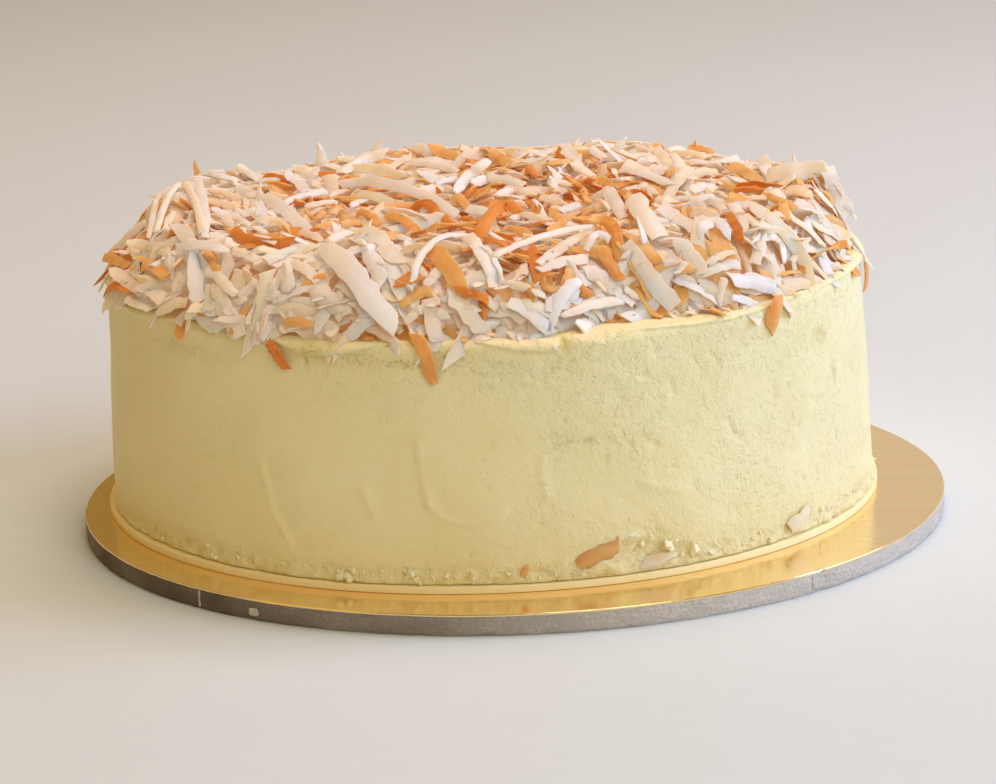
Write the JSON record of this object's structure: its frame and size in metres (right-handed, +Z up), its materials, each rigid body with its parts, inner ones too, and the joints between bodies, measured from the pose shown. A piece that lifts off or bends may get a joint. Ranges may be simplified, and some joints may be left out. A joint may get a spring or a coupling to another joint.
{
  "type": "ondeh ondeh cake",
  "caption": "Round butter-iced cake topped with a heap of shaved and toasted coconut, standing on a thin card and a round gold-faced cake board.",
  "frame": {"origin": "middle of the cake board's flat underside, on the surface it stands on", "axes": "+Z up; -Y is the side of the cake that faces the viewer, +X to the viewer's right"},
  "size_m": [0.2304, 0.2304, 0.0915],
  "materials": {
    "board_grey": "matt grey pulp board with fine layers along its cut edge",
    "gold_sheet": "glossy gold foil with fine straight streaks",
    "pale_card": "thin pale card with a cut edge",
    "icing": "pale yellow buttercream, knife-smoothed, with fine pits and a crumbly foot",
    "coconut": "white to cream shaved coconut with toasted orange-brown flakes"
  },
  "bodies": {
    "root": {"board_core": "board_grey", "gold_foil": "gold_sheet", "cake_card": "pale_card", "cake": "icing", "coconut_topping": "coconut"}
  },
  "joints": []
}
